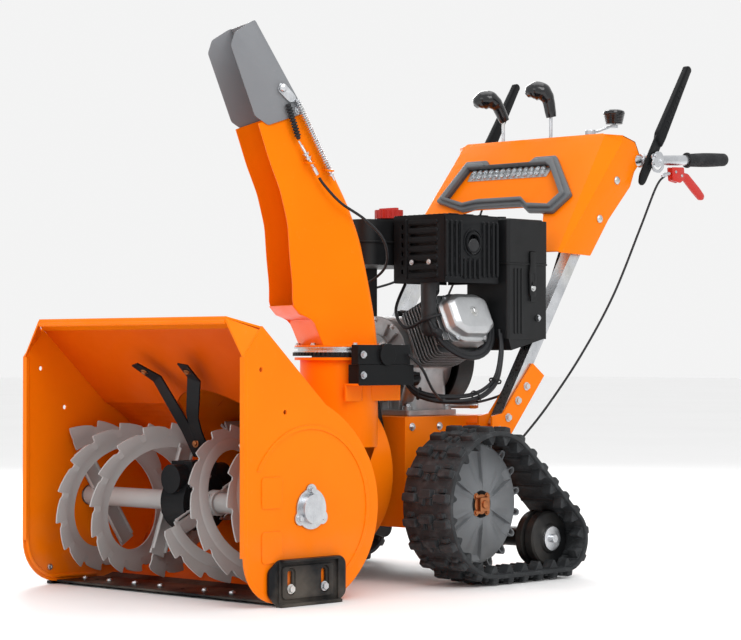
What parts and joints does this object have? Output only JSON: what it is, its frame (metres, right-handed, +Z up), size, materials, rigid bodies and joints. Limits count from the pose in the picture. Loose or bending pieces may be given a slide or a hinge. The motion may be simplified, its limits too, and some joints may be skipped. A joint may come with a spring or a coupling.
{
  "type": "two stage snowblower",
  "caption": "Walk-behind two stage snowblower on triangular rubber tracks, with serrated ribbon augers, an impeller, a turning discharge chute, an engine and upright handles.",
  "frame": {"origin": "on the ground under the middle of the machine's box", "axes": "+Z up, +Y rearwards to the operator, +X to the machine's left"},
  "size_m": [0.768, 1.6618, 1.2104],
  "materials": {
    "orange_paint": "gloss powder coat",
    "black_steel": "satin black paint",
    "grey_steel": "satin grey paint",
    "auger_paint": "satin warm grey paint",
    "zinc": "bright zinc plate",
    "aluminium_cast": "sand cast, bead blasted",
    "bright_cover": "polished pressed cover",
    "black_plastic": "grained",
    "red_plastic": "moulded",
    "grip_rubber": "ribbed soft rubber",
    "track_rubber": "moulded tread",
    "belt_rubber": "matte",
    "lamp_lens": "clear lens",
    "cable_jacket": "smooth jacket",
    "exhaust_steel": "heat darkened",
    "sprocket_grey": "moulded nylon"
  },
  "bodies": {
    "chassis": {"bucket_wrapper": "orange_paint", "side_plate_left": "orange_paint", "side_plate_right": "orange_paint", "scraper_bar": "black_steel", "impeller_drum": "orange_paint", "bearing_flanges": "zinc", "auger_gearbox": "black_steel", "gearbox_brace": "black_steel", "skid_bolts": "zinc", "belt_cover": "black_plastic", "drive_belts": "belt_rubber", "frame": "orange_paint", "undercarriage": "black_steel", "crankcase": "aluminium_cast", "cylinder_block": "aluminium_cast", "rocker_cover": "bright_cover", "exhaust": "exhaust_steel", "muffler_shield": "black_steel", "air_box": "black_plastic", "air_box_lid": "black_plastic", "carburettor": "aluminium_cast", "fuel_tank": "black_plastic", "recoil_housing": "black_plastic", "starter_motor": "black_plastic", "handle_brackets": "orange_paint", "handle_tubes": "zinc", "dash_panel": "orange_paint", "lamp_frame": "black_plastic", "lamp_strip": "lamp_lens", "hand_grips": "grip_rubber", "chute_drive_case": "black_steel", "deflector_cable": "cable_jacket", "control_cables": "cable_jacket", "track_left": "track_rubber", "track_right": "track_rubber"},
    "auger": {"auger_shaft": "auger_paint", "auger_flights": "auger_paint"},
    "impeller": {"impeller": "auger_paint", "impeller_shaft": "zinc"},
    "crank": {"crank_pulley": "zinc"},
    "chute": {"chute": "orange_paint", "chute_ring": "zinc", "deflector_linkage": "zinc"},
    "deflector": {"deflector": "grey_steel"},
    "chute_crank": {"chute_crank": "zinc"},
    "crank_knob": {"crank_knob": "black_plastic"},
    "drive_lever": {"drive_lever": "black_steel"},
    "auger_lever": {"auger_lever": "black_steel"},
    "trigger_left": {"steering_trigger_left": "red_plastic"},
    "trigger_right": {"steering_trigger_right": "red_plastic"},
    "shift_lever": {"shift_lever": "black_plastic"},
    "deflector_lever": {"deflector_lever": "black_plastic"},
    "fuel_cap": {"fuel_cap": "red_plastic"},
    "recoil_handle": {"recoil_handle": "black_plastic"},
    "sprocket_left": {"sprocket_left": "sprocket_grey"},
    "sprocket_right": {"sprocket_right": "sprocket_grey"},
    "idler_left": {"idler_left": "black_plastic"},
    "idler_right": {"idler_right": "black_plastic"},
    "skid_shoe_left": {"skid_shoe_left": "black_steel"},
    "skid_shoe_right": {"skid_shoe_right": "black_steel"}
  },
  "joints": [
    {"name": "auger_spin", "type": "hinge", "parent": "chassis", "child": "auger", "pos_m": [0, -0.648, 0.19], "axis": [1, 0, 0], "continuous": true},
    {"name": "impeller_spin", "type": "hinge", "parent": "chassis", "child": "impeller", "pos_m": [0, -0.4, 0.24], "axis": [0, 1, 0], "continuous": true},
    {"name": "crank_spin", "type": "hinge", "parent": "chassis", "child": "crank", "pos_m": [0, -0.15, 0.49], "axis": [0, 1, 0], "continuous": true},
    {"name": "chute_turn", "type": "hinge", "parent": "chassis", "child": "chute", "pos_m": [0.108, -0.322, 0.5], "axis": [0, 0, 1], "range_deg": [-70, 116], "deforming": ["deflector_cable"]},
    {"name": "deflector_tilt", "type": "hinge", "parent": "chute", "child": "deflector", "pos_m": [0.05955, -0.43614, 1.022], "axis": [0.9205, -0.3907, 0], "range_deg": [0, 48], "deforming": ["deflector_linkage"]},
    {"name": "crank_turn", "type": "hinge", "parent": "chassis", "child": "chute_crank", "pos_m": [0.15, 0.5, 1.03], "axis": [0, 0, 1], "range_deg": [-560, 300]},
    {"name": "knob_spin", "type": "hinge", "parent": "chute_crank", "child": "crank_knob", "pos_m": [0.15, 0.592, 1.07], "axis": [0, 0, 1], "continuous": true},
    {"name": "drive_lever_press", "type": "hinge", "parent": "chassis", "child": "drive_lever", "pos_m": [0.272, 0.575, 0.975], "axis": [-1, 0, 0], "range_deg": [0, 34], "stiffness_Nm_per_rad": 0.6, "springref_deg": -51.57},
    {"name": "auger_lever_press", "type": "hinge", "parent": "chassis", "child": "auger_lever", "pos_m": [-0.272, 0.575, 0.975], "axis": [-1, 0, 0], "range_deg": [0, 34], "stiffness_Nm_per_rad": 0.6, "springref_deg": -51.57},
    {"name": "trigger_left_press", "type": "hinge", "parent": "chassis", "child": "trigger_left", "pos_m": [0.278, 0.684, 0.936], "axis": [1, 0, 0], "range_deg": [0, 18], "stiffness_Nm_per_rad": 0.3, "springref_deg": -28.65},
    {"name": "trigger_right_press", "type": "hinge", "parent": "chassis", "child": "trigger_right", "pos_m": [-0.278, 0.684, 0.936], "axis": [1, 0, 0], "range_deg": [0, 18], "stiffness_Nm_per_rad": 0.3, "springref_deg": -28.65},
    {"name": "shift_lever_turn", "type": "hinge", "parent": "chassis", "child": "shift_lever", "pos_m": [-0.13, 0.502, 0.94], "axis": [1, 0, 0], "range_deg": [-8, 8]},
    {"name": "deflector_lever_turn", "type": "hinge", "parent": "chassis", "child": "deflector_lever", "pos_m": [0.024, 0.502, 0.94], "axis": [1, 0, 0], "range_deg": [-8, 8]},
    {"name": "fuel_cap_turn", "type": "hinge", "parent": "chassis", "child": "fuel_cap", "pos_m": [-0.012, -0.038, 0.815], "axis": [0, 0, 1], "range_deg": [0, 90]},
    {"name": "recoil_pull", "type": "slide", "parent": "chassis", "child": "recoil_handle", "axis": [-0.4226, 0, 0.9063], "range_m": [0, 0.25], "stiffness_N_per_m": 20, "springref_m": -0.05},
    {"name": "sprocket_left_spin", "type": "hinge", "parent": "chassis", "child": "sprocket_left", "pos_m": [0.3, -0.105, 0.174], "axis": [1, 0, 0], "continuous": true},
    {"name": "sprocket_right_spin", "type": "hinge", "parent": "chassis", "child": "sprocket_right", "pos_m": [-0.3, -0.105, 0.174], "axis": [1, 0, 0], "continuous": true},
    {"name": "idler_left_spin", "type": "hinge", "parent": "chassis", "child": "idler_left", "pos_m": [0.3, 0.128, 0.087], "axis": [1, 0, 0], "continuous": true},
    {"name": "idler_right_spin", "type": "hinge", "parent": "chassis", "child": "idler_right", "pos_m": [-0.3, 0.128, 0.087], "axis": [1, 0, 0], "continuous": true},
    {"name": "shoe_left_slide", "type": "slide", "parent": "chassis", "child": "skid_shoe_left", "axis": [0, 0, 1], "range_m": [-0.028, 0]},
    {"name": "shoe_right_slide", "type": "slide", "parent": "chassis", "child": "skid_shoe_right", "axis": [0, 0, 1], "range_m": [-0.028, 0]}
  ],
  "couplings": [
    {"joint": "impeller_spin", "follows": "auger_spin", "ratio": 10},
    {"joint": "crank_spin", "follows": "auger_spin", "ratio": 26},
    {"joint": "crank_turn", "follows": "chute_turn", "ratio": -4},
    {"joint": "idler_left_spin", "follows": "sprocket_left_spin", "ratio": 2.42},
    {"joint": "idler_right_spin", "follows": "sprocket_right_spin", "ratio": 2.42},
    {"joint": "deflector_lever_turn", "follows": "deflector_tilt", "ratio": -0.16}
  ]
}
